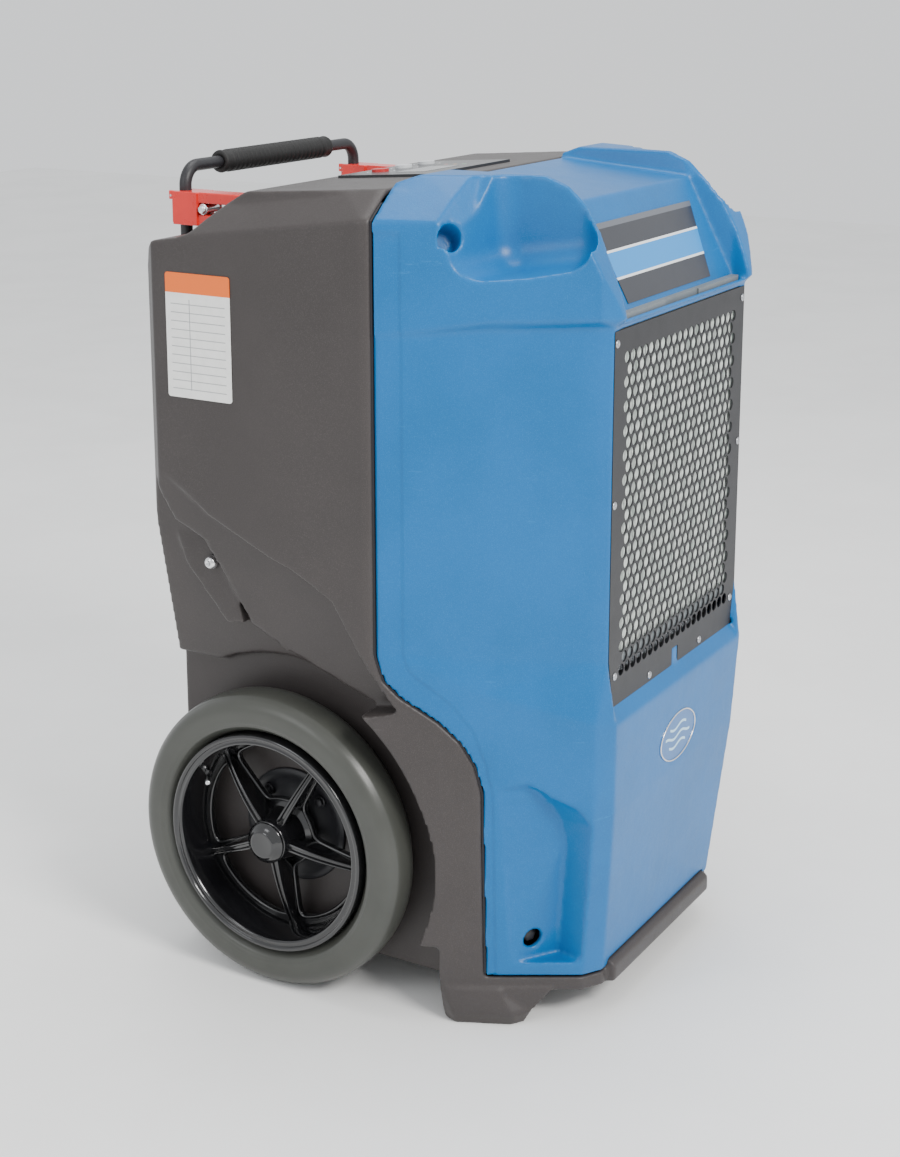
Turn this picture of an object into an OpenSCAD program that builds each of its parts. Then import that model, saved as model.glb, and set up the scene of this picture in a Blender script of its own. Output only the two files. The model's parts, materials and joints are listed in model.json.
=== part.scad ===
// Wheeled restoration dehumidifier: two rotomoulded housings over a sealed refrigeration circuit,
// with a perforated inlet grille at the front, two large wheels and a sliding rod handle behind.
// Frame: +Z up, the front faces -Y, origin on the floor at the middle of the footprint.

/* [Overall] */
// Overall width, across the side walls
overall_w = 508; // [506:1:512]
// Overall depth, from the front lip to the back of the tyres
overall_d = 512; // [512:1:516]
// Overall height with the handle stowed
overall_h = 851; // [851:1:856]
// Wall thickness of the two moulded housings
wall = 7; // [6:1:8]
// Width of the gap between the two housings
seam_gap = 2; // [1.5:0.5:2.5]

/* [Wheels] */
// Outer diameter of the tyres
wheel_d = 318; // [314:1:318]
// Width of a tyre
tyre_w = 54; // [50:1:54]
// Diameter of the rim where the tyre sits
rim_d = 236; // [230:1:240]
// Diameter of the steel axle
axle_d = 16; // [14:1:18]
// Number of spokes on a rim
spokes = 5; // [4:1:6]

/* [Handle] */
// Diameter of the handle rod
rod_d = 12.7; // [11:0.1:12.7]
// Half the distance between the two uprights
rod_x = 158; // [156:1:160]
// Travel of the handle from stowed to raised
handle_travel = 300; // [200:10:300]

/* [Inlet] */
// Width of the inlet grille
grille_w = 312; // [306:1:312]
// Diameter of a hole in the grille
hole_w = 11.8; // [8:0.1:12]
// Columns of holes in a full row
hole_cols = 20; // [16:1:20]
// Rows of holes
hole_rows = 27; // [20:1:27]

/* [Inside] */
// Diameter of the compressor shell
comp_d = 164; // [150:1:168]
// Diameter of the fan wheel
fan_d = 250; // [230:1:254]
// Number of blades on the fan wheel
fan_blades = 9; // [7:1:12]
// Fins on a coil
fins = 14; // [10:1:16]

/* [Hidden] */
$fn = 64;
half_w = overall_w / 2;
front_y = -overall_d / 2;      // front lip of the housing
rear_y = 238;                  // back face of the housing
face_y = -247;                 // plane of the inlet grille
seam_y = -39;                  // vertical part of the joint between the housings
seam_low_y = -137;             // joint beside the lower front corner
skirt_z = 50;                  // top of the skirt that the front housing stands on
floor_z = 34;                  // underside of the body between the feet
floor_t = 10;                  // thickness of the floor
wheel_y = overall_d / 2 - wheel_d / 2;
wheel_z = wheel_d / 2;
tyre_x = half_w - 1 - tyre_w / 2;
web_x = tyre_x - tyre_w / 2 + 5; // inner face of the rim
well_x = 190;                  // inner wall of the wheel well
well_r = wheel_d / 2 + 32;
well_low_z = 82;               // underside of the side wall in front of the wheel
bracket_bolt_r = 46;           // radius of the circle of bolts about the axle
cheek_top = 560;               // the side wall is a thick moulded block below this height
clear = 0.3;                   // clearance between bodies that move past each other
fit = 0.05;                    // radial clearance of a running fit
rod_y = rear_y + 5;            // plane of the handle
grip_d = 24;
bar_z = overall_h - grip_d / 2; // height of the handle's crossbar
bend_r = 20;
rod_low_z = 290;               // lower end of the handle rods
clamp_z = 781;                 // underside of a handle clamp
clamp_h = 34;
fan_z = 545;
top_slope = 4;                 // fall of the top towards the back, in degrees
filter_y = face_y + 2.2;       // front of the filter
filter_t = 8.4;
plate_t = 1.6;                 // thickness of the grille plate
grille_low_z = 341;
grille_top_z = 712;
filter_low_z = 381;
filter_high_z = 712;
filter_rail = 9;

// Half outlines of the whole body at rising levels, as [x, y, z] points: edge of the front panel, front
// corner, corner strip, lower joint, bevel, start of the side, end of the side, back corner.
function level(z, points) = [for (p = points) [p.x, p.y, len(p) == 3 ? p.z : z]];
side_back = [[half_w, 214], [230, rear_y]];
body_rows = [
    level(floor_z, [[122, -234], [130, -234], [150, -221], [199, -139], [224, -97], [252, -35],
        each side_back]),
    level(skirt_z, [[123, -235], [131, -235], [152, -222], [201, -139], [226, -97], [253, -35],
        each side_back]),
    level(230, [[140, -252], [148, -252], [169, -240], [208, -139], [229, -92], [252, -35],
        each side_back]),
    level(327, [[147, front_y], [155, front_y], [174, -243, 331], [212, -139, 356], [236, -74, 383],
        [253, -30, 387], each side_back]),
    level(389, [[147, face_y, 341], [158, face_y], [166, -234, 391], [208, -140, 388], [240, -62, 388],
        [253, -30, 388], each side_back]),
    level(716, [[147, face_y], [158, face_y], [166, -234], [208, -140, 712], [240, -62, 704],
        [253, -30, 703], each side_back]),
    level(724, [[146, front_y], [156, front_y], [174, -242], [214, -144, 720], [241, -64, 707],
        [253, -30, 704], each side_back]),
    level(811, [[146, front_y], [156, front_y], [174, -242], [214, -144], [241, -64], [253, -30],
        each side_back]),
    level(850, [[110, -226], [120, -226], [134, -212], [170, -120], [193, -62], [202, -30],
        each side_back])];
lobe_base = level(690, [for (p = body_rows[5]) [p.x - 6, p.y + 6]]);
lobe_rows = [for (row = [lobe_base, for (k = [5:8]) body_rows[k]]) mirrored(row)];

// Side view of the body between the lobes, as [y, z] along the top from front to back
middle_top = [[front_y - 20, 720], [-234.5, 722], [-190, 826], [seam_y, 838], [119, 827], [140, 815],
    [158, 799], [170, 786], [184, 781], [215, 776], [229, 768], [rear_y, 748], [rear_y + 20, 700]];
// Side view of the two front lobes
lobe_top = [[front_y - 1, 700], [front_y + 1, 728], [-249, 747], [-239, 772], [-225, 800], [-207, 824],
    [-188, 841], [-165, 850], [-60, 850], [seam_y, 842]];
// Side view of the joint between the housings, from the top down to the skirt
seam_line = [[seam_y, 900], [seam_y, 388], [-47, 362], [-62, 346], [-98, 322], [-118, 303], [-131, 278],
    [seam_low_y, 250], [seam_low_y, skirt_z]];
// Side view of the crease above the wheel, from the front of the arch to the back
crease = [[-20, 324], [45, 350], [84, 366], [122, 386], [150, 440], [170, 474], [203, 490], [222, 530],
    [260, 545]];

// ---- shared shapes ----

function mirrored(half) = concat(half, [for (i = [len(half) - 1:-1:0]) [-half[i].x, half[i].y, half[i].z]]);
function inset_row(half, t) = [for (i = [0:len(half) - 1])
    [half[i].x - (i < 3 ? t * 0.6 : t), half[i].y + (i < 3 ? t : i > 6 ? -t : 0), half[i].z]];

// Solid through a stack of outlines that all have the same number of [x, y, z] points
module loft(rows) {
    n = len(rows[0]);
    points = [for (r = rows) each r];
    sides = [for (k = [0:len(rows) - 2]) for (i = [0:n - 1])
        let (j = (i + 1) % n, a = k * n)
        each [[a + i, a + n + i, a + n + j], [a + i, a + n + j, a + j]]];
    first = floor(n / 2) - 2; // the flat ends are filled from this point
    bottom = [for (i = [0:n - 1]) (i + first) % n];
    top = [for (i = [n:-1:1]) (len(rows) - 1) * n + (i + first) % n];
    polyhedron(points, concat([bottom], sides, [top]));
}

// Extrudes a [y, z] outline along X
module along_x(from, to) {
    translate([from, 0, 0]) rotate([90, 0, 90]) linear_extrude(to - from) children();
}

// Repeats its children on the left, at -X, and on the right
module both_sides() {
    children();
    mirror([1, 0, 0]) children();
}

// Cylinder along X, from x to x + h
module bar_x(x, y, z, h, d) {
    translate([x, y, z]) rotate([0, 90, 0]) cylinder(h = h, d = d);
}

// Cylinder along Y, from y to y + h
module bar_y(x, y, z, h, d) {
    translate([x, y + h, z]) rotate([90, 0, 0]) cylinder(h = h, d = d);
}

// Round tube through a list of points, with a slightly swollen ball at each corner
module run(path, d) {
    for (k = [0:len(path) - 2]) {
        v = path[k + 1] - path[k];
        translate(path[k]) rotate([0, acos(v.z / norm(v)), atan2(v.y, v.x)]) cylinder(h = norm(v), d = d);
    }
    for (k = [1:len(path) - 2]) translate(path[k]) sphere(d = d + 1.6);
}

// Places its children on the sloping top, with Y down the slope from the joint
module on_top() {
    translate([0, seam_y, 838]) rotate([-top_slope, 0, 0]) children();
}

// Outer shape of both housings without the lobes; t moves every wall inwards
module body_shape(t = 0) {
    difference() {
        intersection() {
            loft([for (r = body_rows) mirrored(inset_row(r, t))]);
            along_x(-half_w, half_w) polygon(concat([for (p = middle_top) [p.x, p.y - t]],
                [[rear_y + 20, floor_z], [front_y - 20, floor_z]]));
        }
        both_sides() top_chamfer(t);
    }
}

// Sloping cut along the top edge of the rear housing on the right
module top_chamfer(t) {
    shoulder = 811 - t * 0.4;
    fall = 0.131;
    rotate([90, 0, 0]) loft([for (y = [260, seam_y]) let (z = shoulder - fall * (y - seam_y)) level(-y,
        [[half_w - 29 - t, z + 27], [half_w + 8 - t, z - 7.5], [half_w + 60, z - 7.5], [half_w + 60, 900],
        [half_w - 29 - t, 900]])]);
}

// Raised front lobe on the right
module lobe() {
    difference() {
        intersection() {
            loft(lobe_rows);
            along_x(0, half_w) polygon(concat(lobe_top, [[seam_y, 700]]));
        }
        loft([for (p = brow_edge)
            mirrored(level(p[0], [[147, -300], [147, -236], [p[1], p[2]], [p[1], seam_y + 9]]))]);
    }
}

// Edge where the sloping panel between the lobes meets them, as [z, x, y]
brow_edge = [[690, 104, -234.5], [722, 104, -234.5], [826, 130, -190], [860, 138, -176]];

// Bowl in the right lobe that takes the foot of a unit stacked on top, with the facet and hole behind it
module scoop() {
    bowl_r = 26;
    hull() {
        for (p = [[174, -150, 788], [167, -204, 796], [262, -126, 781], [244, -216, 788]]) translate(p)
            sphere(r = bowl_r, $fn = 32);
        for (p = [[172, -144], [164, -200], [262, -122], [244, -214]]) translate([p.x, p.y, 900])
            cylinder(r = bowl_r, h = 1, $fn = 32);
    }
    loft([level(766, [[232, -114], [214, -122], [214, -150], [275, -150], [275, -114]]),
        level(809, [[240, -94], [195, -118], [195, -150], [275, -150], [275, -94]]),
        level(870, [[232, -76], [150, -108], [150, -150], [275, -150], [275, -76]])]);
    translate([219, -109, 798]) rotate([0, 65, -60]) translate([0, 0, -24]) cylinder(h = 60, d = 25);
}

// Region in front of the joint, moved forward by g
module front_region(g) {
    along_x(-half_w - 10, half_w + 10) polygon(concat([for (p = seam_line) [p.x - g, max(p.y, skirt_z + g)]],
        [[front_y - 30, skirt_z + g], [front_y - 30, 900]]));
}

// ---- housings ----

module front_housing() {
    color("#0a86cf") difference() {
        intersection() {
            union() {
                body_shape();
                both_sides() lobe();
            }
            front_region(seam_gap / 2);
        }
        difference() {
            intersection() {
                body_shape(wall);
                translate([-half_w, front_y, skirt_z - 20]) cube([overall_w, overall_d, 705]);
            }
            both_sides() pocket(wall);
        }
        inlet_recess();
        badge_shape(6, 1);
        front_bar(1);
        both_sides() {
            pocket(0);
            scoop();
            bolt_recess();
        }
    }
}

// Step for the grille plate, opening behind it and slot for the filter
module inlet_recess() {
    translate([0, face_y + plate_t + 0.2, 0]) rotate([90, 0, 0]) linear_extrude(30) grille_outline(0.8);
    translate([-144, face_y - 1, 366]) cube([288, 60, 338]);
    translate([-146, filter_y - 0.2, filter_low_z - 0.3]) cube([292, filter_t + 0.6, 460]);
}
// Outline of the grille plate as [x, z], grown by g, with a notch at the middle of its lower edge
module grille_outline(g) {
    low = grille_low_z - g;
    side = grille_w / 2 + g;
    notch = 7 - g;
    polygon([[-side + 10, low], [-notch, low], [-notch, low + 18], [notch, low + 18], [notch, low],
        [side - 10, low], [side, low + 49], [side, grille_top_z + g], [-side, grille_top_z + g],
        [-side, low + 49]]);
}

// Recess in the lower right front corner, grown by g. Each row is a height, the start of the recess on
// the facet, its deep inner edge and its edge beside the front corner.
hold_low_z = 67;
hold_rows = [
    [hold_low_z, [188, -163], [146, -191], [154, -224]],
    [200, [200, -156], [158, -204], [166, -237]],
    [222, [201, -155], [162, -200], [168, -239]],
    [240, [202, -154], [171, -193], [174, -229]],
    [255, [203, -153], [181, -186], [187, -199]],
    [268, [206.5, -151], [197.5, -177], [198.5, -179]]];
module pocket(g) {
    loft([for (r = hold_rows) level(r[0] == hold_low_z ? r[0] - g : r[0], [r[1] + [0, g], r[2] + [-g, g],
        r[3] - [g, 0], r[3] + [12, -40], [262, -270], [262, r[1].y + g]])]);
}
module bolt_recess() {
    on_hold() cylinder(h = 44, d = 20, center = true);
}
// Places its children at the bolt in the corner recess, with Z pointing out
module on_hold() {
    translate([174, -179, 90]) rotate([90, 0, 36]) children();
}

module rear_housing() {
    color("#756b68") difference() {
        union() {
            difference() {
                body_shape();
                front_region(-seam_gap / 2);
            }
            both_sides() foot();
            front_bar(0);
        }
        difference() {
            intersection() {
                body_shape(wall);
                translate([-half_w, front_y, floor_z + floor_t]) cube([overall_w, overall_d, 900]);
            }
            both_sides() {
                translate([well_x - wall, -97 - wall, 0]) cube([80, 400, cheek_top]);
                rod_channel(wall);
            }
        }
        both_sides() {
            difference() {
                well(0);
                stud_pad();
            }
            rod_channel(0);
            side_slope();
            clamp_slot();
            bar_x(180, 167, 447, 80, 8.2);
        }
        bar_x(-half_w, wheel_y, wheel_z, overall_w, axle_d + 0.4);
        bar_y(0, rear_y - 40, fan_z, 60, 236);
        bar_y(-92, rear_y - 40, 92, 60, 24);
        bar_y(92, rear_y - 40, 120, 60, 22);
        on_top() {
            translate([-78, 42, -30]) cube([156, 96, 60]);
            translate([-87, 35, -0.6]) cube([174, 108, 20]);
        }
    }
}

// Space around the right wheel, with a flared edge, and the inset wall above it
module well(g) {
    along_x(well_x - g, half_w + 20) {
        translate([wheel_y, wheel_z]) circle(r = well_r + g);
        polygon([[-97 - g, -20], [-97 - g, well_low_z + g], [wheel_y, well_low_z + g], [wheel_y, 330],
            [280, 330], [280, -20]]);
    }
    translate([half_w - 22, wheel_y, wheel_z]) rotate([0, 90, 0])
        cylinder(h = 24, r1 = well_r, r2 = well_r + 17);
    intersection() {
        along_x(well_x - g, half_w + 20) polygon(concat([for (p = crease) [p.x - g * 0.5, p.y + g]],
            [[260, 200], [-20, 200]]));
        translate([192 - g, 0, 290]) rotate([0, 11.3, 0]) translate([0, -100, -120]) cube([200, 400, 500]);
    }
}

// Pad on the inset wall that carries the stud on the right
module stud_pad() {
    along_x(well_x - 1, 229)
        polygon([[201, 492], [165, 474], [149, 448], [131, 386], [152, 384], [203, 441], [214, 480]]);
}

// Broad slope on the side above the crease, falling inwards to it
module side_slope() {
    intersection() {
        along_x(well_x, half_w + 20) polygon([[-60, 330], [15, 449], [81, 470], [153, 503], [207, 542],
            [260, 575], [260, 520], [190, 470], [122, 384], [45, 348], [-20, 322]]);
        translate([half_w, 207, 542]) rotate([0, 10, 0]) rotate([27.5, 0, 0]) translate([0, -400, -300])
            cube([60, 700, 300]);
    }
}

// Groove in the back face that clears the right handle rod
module rod_channel(g) {
    translate([rod_x - 13 - g, rear_y - 11 - g, 262]) cube([26 + 2 * g, 40, 560]);
}

// Seat of the right handle clamp in the step of the top
module clamp_slot() {
    translate([rod_x - 12.3, 149.5, clamp_z - 0.5]) cube([24.6, 60, clamp_h + 1]);
    translate([rod_x - 15.3, 209, clamp_z - 0.5]) cube([30.6, 60, clamp_h + 1]);
}

// Bar along the bottom of the front panel, grown by g
module front_bar(g) {
    along_x(-120 - g, 120 + g) polygon([[-243 - g, floor_z + 2], [-239, floor_z], [-228 + g, floor_z],
        [-228 + g, 58 + g], [-238, 57 + g], [-243 - g, 52 + g]]);
}

// Right front foot, which nests in the bowl of a unit below
module foot() {
    intersection() {
        loft([level(0, [[166, -160], [180, -172], [193, -164], [217, -112], [212, -98], [180, -98]]),
            level(14, [[160, -166], [180, -180], [197, -168], [222, -112], [216, -94], [174, -92]]),
            level(floor_z + 6, [[150, -180], [168, -200], [198, -150], [224, -104], [220, -88],
                [168, -84]])]);
        translate([0, front_y, 0]) cube([half_w, overall_d, floor_z + 5]);
    }
}

// Rubber strip in the joint between the two housings
module seam_seal() {
    color("#15171c") difference() {
        intersection() {
            body_shape(2.5);
            front_region(-seam_gap / 2 + 0.1);
        }
        front_region(seam_gap / 2 - 0.1);
        body_shape(wall);
        translate([-half_w, front_y, 0]) cube([overall_w, overall_d, skirt_z + 3]);
        along_x(-half_w, half_w) translate([-60, 826]) square([60, 20]);
    }
}

// ---- inlet ----

module inlet_grille() {
    pitch_x = 13.5;
    pitch_z = 11.9;
    top_row_z = 684;
    color("#101114") difference() {
        translate([0, face_y + plate_t, 0]) rotate([90, 0, 0]) linear_extrude(plate_t) difference() {
            grille_outline(0);
            for (r = [0:hole_rows - 1]) for (c = [0:hole_cols - 1 - r % 2])
                translate([(c - (hole_cols - 1 - r % 2) / 2) * pitch_x, top_row_z - r * pitch_z])
                    circle(d = hole_w);
        }
        for (p = grille_fixings()) bar_y(p.x, face_y - 1, p.y, 6, 4.2);
    }
}
function grille_fixings() = [for (s = [-1, 1])
    each [[s * 151, 700], [s * 151, 545], [s * 143, 372], [s * 62, 348]]];
module grille_screws() {
    color("#8d9095") for (p = grille_fixings()) {
        bar_y(p.x, face_y - 1.6, p.y, 1.6, 8);
        bar_y(p.x, face_y, p.y, plate_t + 0.1, 4.1);
    }
}

module filter_frame() {
    color("#d7dde0") difference() {
        union() {
            translate([-145, filter_y, filter_low_z]) cube([290, filter_t, filter_high_z - filter_low_z]);
            translate([-143, filter_y, filter_high_z]) cube([286, filter_t, 13]);
        }
        filter_window(filter_t + 2);
        translate([-40, filter_y - 1, filter_high_z + 4]) cube([80, 3, 12]);
    }
}
// Opening of the filter frame, with a depth of t
module filter_window(t) {
    translate([-145 + filter_rail, filter_y + filter_t / 2 - t / 2, filter_low_z + filter_rail])
        cube([290 - 2 * filter_rail, t, filter_high_z - filter_low_z - 2 * filter_rail]);
}
module filter_media() {
    color("#f1f4f2") filter_window(filter_t - 2.4);
}

// ---- labels ----

// Places its children flat on the sloping panel between the lobes, with Y up the slope
module on_brow() {
    translate([0, -234.5, 722]) rotate([atan2(826 - 722, 234.5 - 190), 0, 0]) children();
}
module nameplate() {
    color("#2b2d33") on_brow() linear_extrude(0.8) polygon([[-98, 7], [98, 7], [112, 88], [-112, 88]]);
}
module badge_shape(depth, g) {
    translate([0, -251.6, 264]) rotate([92.4, 0, 0]) linear_extrude(depth) intersection() {
        translate([0, 37]) circle(r = 62 + g);
        translate([0, -37]) circle(r = 62 + g);
        square([88 + 2 * g, 80], center = true);
    }
}
module badge() {
    color("#0b5f9e") badge_shape(1.4, 0);
}
module side_label() {
    color("#f4f4f0") translate([-half_w, 197, 622]) rotate([90, 0, -90]) linear_extrude(0.6)
        translate([3, 3]) union() {
            square([72, 119]);
            translate([-3, 0]) square([78, 119]);
            translate([0, -3]) square([72, 125]);
            for (x = [0, 72]) for (y = [0, 119]) translate([x, y]) circle(r = 3);
        }
}

// ---- controls ----

module control_panel() {
    color("#1c1f24") on_top() difference() {
        union() {
            translate([-86, 36, -0.5]) cube([172, 106, 3]);
            translate([-77, 43, -6]) cube([154, 94, 6]);
        }
        translate([-58, 56, 0.5]) cube([70, 34, 5]);
        for (x = button_xs) translate([x, button_row, -8]) cylinder(h = 16, d = button_d + 2 * clear);
    }
}
button_xs = [-46, 0, 46];
button_row = 116;
button_d = 18;
button_travel = 2;
module display_window() {
    color("#22303a") on_top() translate([-57.8, 56.2, 0.5]) cube([69.6, 33.6, 2.2]);
}
module button(x) {
    on_top() translate([x, button_row, -8.2]) {
        cylinder(h = 13.7, d = button_d);
        cylinder(h = 1.8, d = button_d + 5);
    }
}
module button_power() { color("#c8322b") button(button_xs[0]); }
module button_mode() { color("#d9dcdf") button(button_xs[1]); }
module button_drain() { color("#d9dcdf") button(button_xs[2]); }

// ---- exhaust and fan ----

module exhaust_collar() {
    color("#1a1b1e") difference() {
        union() {
            bar_y(0, rear_y - 22, fan_z, 22, 235.6);
            bar_y(0, rear_y, fan_z, 4, 262);
            bar_y(0, rear_y + 4, fan_z, 12, 240);
        }
        bar_y(0, rear_y - 30, fan_z, 60, 226);
    }
}
module exhaust_guard() {
    color("#1a1b1e") {
        for (k = [0:3]) translate([0, rear_y - 8, fan_z]) rotate([90, 0, 0]) difference() {
            cylinder(h = 4, r = 113 - k * 28);
            translate([0, 0, -1]) cylinder(h = 6, r = 109.5 - k * 28);
        }
        for (k = [0:5]) translate([0, rear_y - 11.5, fan_z]) rotate([0, k * 60, 0]) translate([27, 0, -2])
            cube([84, 3, 4]);
    }
}
module fan_shroud() {
    color("#2a2d33") difference() {
        union() {
            translate([-170, -84, fan_z - 165]) cube([340, 4, 330]);
            bar_y(0, -80, fan_z, 62, fan_d + 22);
        }
        bar_y(0, -90, fan_z, 100, fan_d + 12);
    }
    color("#2a2d33") difference() {
        for (a = [45:90:315]) translate([0, -27, fan_z]) rotate([0, a, 0]) translate([50, 0, -6])
            cube([fan_d / 2 - 41, 4, 12]);
        bar_y(0, -30, fan_z, 30, 106);
    }
}
module fan_motor() {
    color("#3b3f45") {
        bar_y(0, -22, fan_z, 70, 106);
        bar_y(0, 48, fan_z, 8, 60);
    }
    color("#c9ccd0") bar_y(0, -72, fan_z, 50, 12);
}
module fan_wheel() {
    color("#1e2024") {
        difference() {
            bar_y(0, -70, fan_z, 44, 70);
            bar_y(0, -73, fan_z, 60, 12 + 2 * fit);
        }
        for (k = [0:fan_blades - 1]) translate([0, -48, fan_z]) rotate([0, k * 360 / fan_blades, 0])
            rotate([38, 0, 0]) translate([30, -1.5, -22]) cube([fan_d / 2 - 33, 3, 44]);
    }
}

// ---- refrigeration ----

// Finned block with end plates, between the depths from and to
module coil(from, to, w, low, high) {
    difference() {
        translate([-w / 2, from, low]) cube([w, to - from, high - low]);
        for (k = [1:fins - 1]) translate([-w / 2 + k * w / fins, from - 1, low + 12])
            cube([5, to - from + 2, high - low - 24]);
    }
    for (s = [-1, 1]) for (z = [low + 30:45:high - 20]) translate([s * w / 2, (from + to) / 2, z])
        rotate([90, 0, s * 90]) rotate_extrude(angle = 180) translate([11, 0]) circle(d = 8);
}
module evaporator() { color("#b9c0c4") coil(-214, -172, 250, 352, 698); }
module heat_exchanger() {
    color("#9fb3bd") difference() {
        translate([-125, -166, 352]) cube([250, 34, 346]);
        for (z = [366:26:680]) translate([-118, -170, z]) cube([236, 42, 12]);
    }
}
module condenser() { color("#b08d6a") coil(-126, -92, 250, 352, 698); }
module coil_frame() {
    color("#aab0b5") difference() {
        translate([-147, -218, 340]) cube([294, 130, 372]);
        translate([-145, -220, 350]) cube([290, 140, 350]);
    }
}
module drain_pan() {
    color("#30343a") difference() {
        translate([-147, -222, 312]) cube([294, 140, 27.8]);
        translate([-144, -219, 315]) cube([288, 134, 26]);
        translate([-110, -190, 300]) cylinder(h = 30, d = 18);
    }
}
module condensate_pump() {
    color("#26292e") {
        translate([-132, -212, floor_z + floor_t]) cube([70, 70, 62]);
        translate([-126, -202, floor_z + floor_t + 62]) cube([40, 46, 26]);
        translate([-110, -190, 130]) difference() {
            cylinder(h = 181, d = 17.6);
            translate([0, 0, -1]) cylinder(h = 184, d = 13);
        }
    }
}
hose_z = 92;
module drain_hose() {
    color("#3a3e44") {
        bar_y(-104, -142, hose_z, 34, 12);
        bar_x(-138, -108, hose_z, 40, 14);
        bar_y(-132, -108, hose_z, 318, 12);
        bar_x(-138, 210, hose_z, 52, 14);
        bar_y(-92, 208, hose_z, 12, 12);
    }
}
module drain_fitting() {
    color("#b59a52") difference() {
        union() {
            bar_y(-92, 220, 92, 18, 23.6);
            bar_y(-92, rear_y, 92, 3, 32);
            bar_y(-92, rear_y + 3, 92, 12, 15);
        }
        bar_y(-92, 232, 92, 30, 9.6);
    }
}
comp_y = -8;
module compressor() {
    base_z = floor_z + floor_t + 16;
    color("#16181b") {
        translate([0, comp_y, base_z + 6]) cylinder(h = 188, d = comp_d);
        translate([0, comp_y, base_z + 194]) intersection() {
            translate([0, 0, -70]) sphere(d = 2 * norm([comp_d / 2, 70]));
            cylinder(h = 60, d = comp_d);
        }
        translate([0, comp_y, base_z]) linear_extrude(6) for (a = [90:120:330])
            rotate(a) translate([0, -22]) square([92, 44]);
    }
}
module compressor_mounts() {
    color("#0d0d0e") for (a = [90:120:330]) translate([0, comp_y, floor_z + floor_t]) rotate([0, 0, a])
        translate([80, 0, 0]) difference() {
            cylinder(h = 16, d = 26);
            translate([0, 0, -1]) cylinder(h = 20, d = 8);
        }
}
module filter_drier() {
    color("#b87333") {
        translate([118, 40, 340]) cylinder(h = 110, d = 40);
        translate([118, 40, 326]) cylinder(h = 138, d = 12);
    }
}
module refrigerant_lines() {
    color("#b87333") {
        run([[118, 40, 464], [118, 40, 480], [160, -20, 480], [160, -75, 480]], 9);
        run([[118, 40, 326], [118, 40, 318], [60, 20, 318], [40, 0, 290]], 9);
        run([[-40, -10, 290], [-60, -10, 330], [-160, -40, 360], [-160, -75, 360]], 9);
    }
}

// ---- electrics ----

module electrics_box() {
    color("#8b9096") difference() {
        translate([-75, 10, 706]) cube([150, 100, 88]);
        translate([-73, 12, 708]) cube([146, 96, 90]);
    }
}
module run_capacitor() {
    color("#c4c9cd") {
        translate([120, 60, 712]) cylinder(h = 70, d = 44);
        translate([94, 34, 706]) cube([52, 52, 6]);
    }
}
module inner_frame() {
    shelf_z = 703;
    color("#9a9fa4") {
        translate([-175, -79.8, shelf_z]) cube([350, 210, 3]);
        both_sides() difference() {
            translate([150, -79.8, floor_z + floor_t]) cube([25, 25, shelf_z - floor_z - floor_t]);
            translate([148, -77.8, 0]) cube([25, 30, 900]);
        }
    }
}
module cord_inlet() {
    color("#111214") difference() {
        union() {
            bar_y(92, 222, 120, 16, 21.6);
            bar_y(92, rear_y, 120, 5, 34);
            translate([92, rear_y + 5, 120]) rotate([-90, 0, 0]) cylinder(h = 13, d1 = 24, d2 = 16);
        }
        bar_y(92, 216, 120, 50, 10);
    }
}

// ---- wheels ----

module axle() {
    color("#a7abaf") bar_x(-half_w + 4, wheel_y, wheel_z, overall_w - 8, axle_d);
}
module axle_brackets() {
    color("#8b9096") both_sides() difference() {
        bar_x(well_x, wheel_y, wheel_z, 3, 124);
        bar_x(well_x - 5, wheel_y, wheel_z, 20, axle_d);
    }
}
module bracket_bolts() {
    color("#3b3d40") both_sides() for (a = [45:90:315])
        bar_x(well_x + 3, wheel_y + bracket_bolt_r * cos(a), wheel_z + bracket_bolt_r * sin(a), 5, 13);
}

// Revolves a [radius, x] outline about the axle
module wheel_turned() {
    translate([tyre_x, wheel_y, wheel_z]) rotate([0, 90, 0]) rotate_extrude($fn = 96) children();
}
module rim() {
    color("#0c0d0f") {
        difference() {
            union() {
                wheel_turned() polygon([[rim_d / 2 - 9, -tyre_w / 2 + 5], [rim_d / 2, -tyre_w / 2 + 5],
                    [rim_d / 2, tyre_w / 2 - 3], [rim_d / 2 - 14, tyre_w / 2 - 3],
                    [rim_d / 2 - 9, tyre_w / 2 - 12]]);
                wheel_turned() translate([24, -tyre_w / 2 + 5]) square([rim_d / 2 - 30, 5]);
                for (k = [0:spokes - 1]) on_spoke(k * 360 / spokes)
                    translate([0, -4, 14]) cube([tyre_x + 18 - web_x, 8, rim_d / 2 - 22]);
                bar_x(web_x, wheel_y, wheel_z, tyre_w - 13, 50);
            }
            bar_x(tyre_x - 60, wheel_y, wheel_z, 120, 24);
            for (k = [0:spokes - 1]) rim_window(k * 360 / spokes);
        }
    }
}
// Places its children at the web of the right rim, turned by a about the axle
module on_spoke(a) {
    translate([web_x, wheel_y, wheel_z]) rotate([a, 0, 0]) children();
}

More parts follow.
